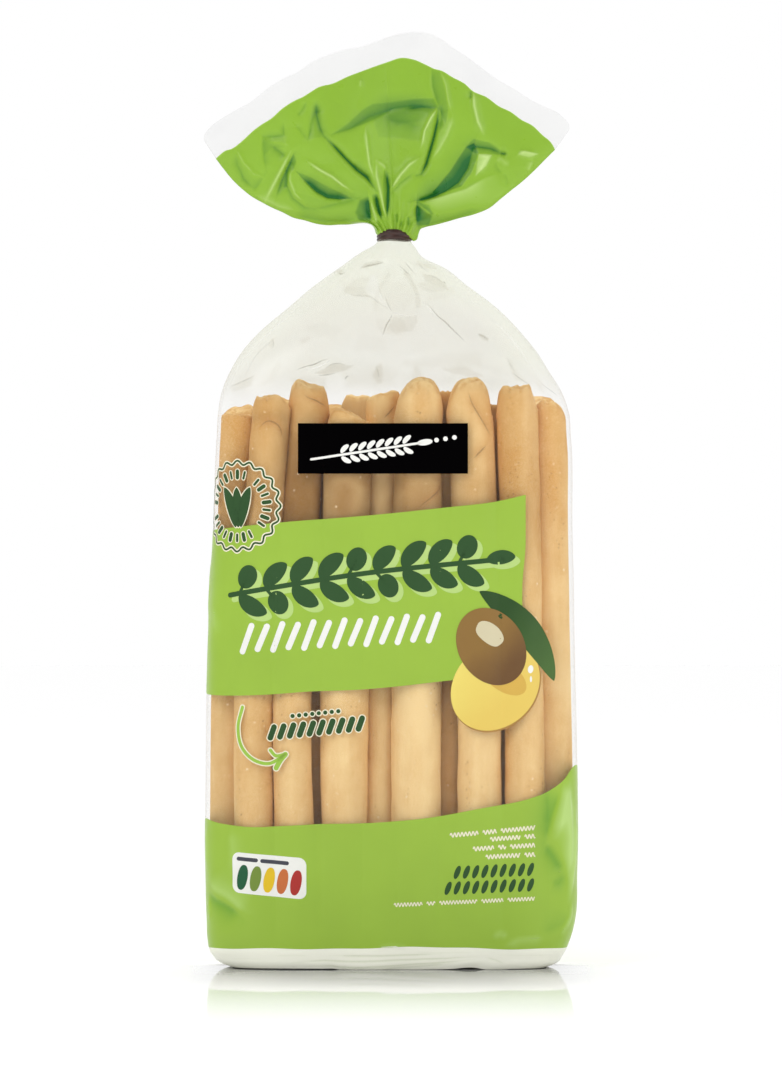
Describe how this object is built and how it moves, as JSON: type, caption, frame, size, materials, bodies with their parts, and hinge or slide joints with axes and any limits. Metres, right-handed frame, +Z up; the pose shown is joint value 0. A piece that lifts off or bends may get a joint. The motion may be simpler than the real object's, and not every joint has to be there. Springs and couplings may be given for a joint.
{
  "type": "bag of breadsticks",
  "caption": "Clear film bag of thick breadsticks standing on its base, with green printed bands, a tied neck and a flared pleated top.",
  "frame": {"origin": "middle of the base that the bag stands on", "axes": "+Z up, +X to the right as the printed front is seen, -Y out of the printed front"},
  "size_m": [0.1206, 0.0494, 0.3021],
  "materials": {
    "film": "clear glossy film, hazy where it is empty",
    "print": "green ink on glossy film",
    "bread": "matt baked crust",
    "tie": "satin brown band"
  },
  "bodies": {
    "root": {"bag": "film", "tie": "tie"}
  },
  "joints": []
}
